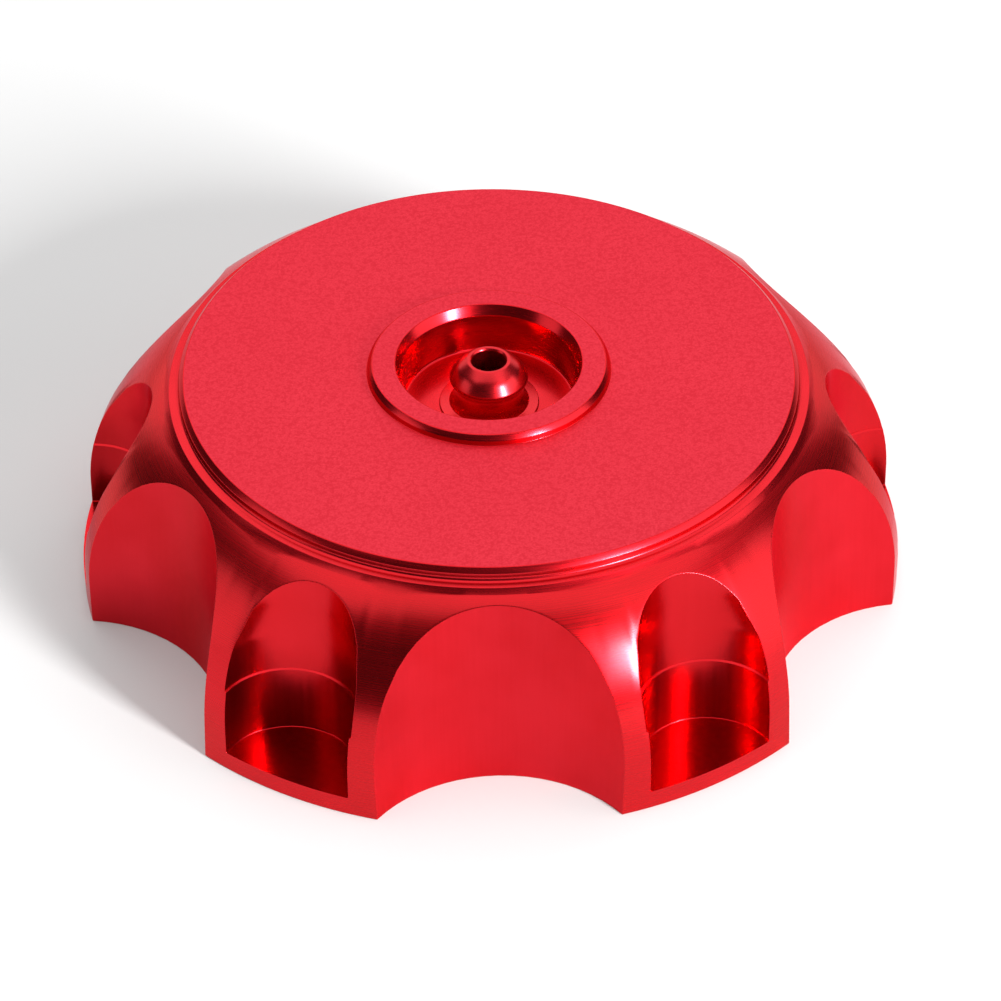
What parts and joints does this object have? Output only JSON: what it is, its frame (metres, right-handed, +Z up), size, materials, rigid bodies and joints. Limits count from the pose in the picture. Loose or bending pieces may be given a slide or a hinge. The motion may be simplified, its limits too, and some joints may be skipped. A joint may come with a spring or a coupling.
{
  "type": "fuel tank cap",
  "caption": "Screw-on red anodised billet motorcycle fuel tank cap with scalloped grip, recessed vent hose nipple and roll-over check valve.",
  "frame": {"origin": "centre of the rim's lower plane, on the cap's axis", "axes": "+Z up along the vent, out of the top; +X through the middle of a lobe and its pocket; -Y through the middle of a scallop"},
  "size_m": [0.082, 0.0786, 0.0246],
  "materials": {
    "body_anodised": "red anodised, bead blasted top, turned flank",
    "nipple_anodised": "red anodised, turned",
    "seal_rubber": "moulded, slight sheen",
    "gasket_rubber": "matte",
    "seat_elastomer": "moulded, matte",
    "valve_aluminium": "turned",
    "ball_steel": "polished",
    "cage_brass": "turned",
    "clip_steel": "oiled spring steel",
    "baffle_steel": "stamped sheet",
    "screw_steel": "satin stainless",
    "washer_steel": "satin"
  },
  "bodies": {
    "cap": {"cap_body": "body_anodised", "vent_nipple": "nipple_anodised", "nipple_o_ring": "seal_rubber", "neck_gasket": "gasket_rubber", "valve_gasket": "gasket_rubber", "valve_housing": "valve_aluminium", "valve_seat": "seat_elastomer", "ball_cage": "cage_brass", "cage_clip": "clip_steel", "baffle_clip": "clip_steel", "splash_baffle": "baffle_steel", "valve_screws": "screw_steel", "lock_washers": "washer_steel"},
    "ball": {"check_ball": "ball_steel"}
  },
  "joints": [
    {"name": "check_ball_lift", "type": "slide", "parent": "cap", "child": "ball", "axis": [0, 0, 1], "range_m": [0, 0.0027]}
  ]
}
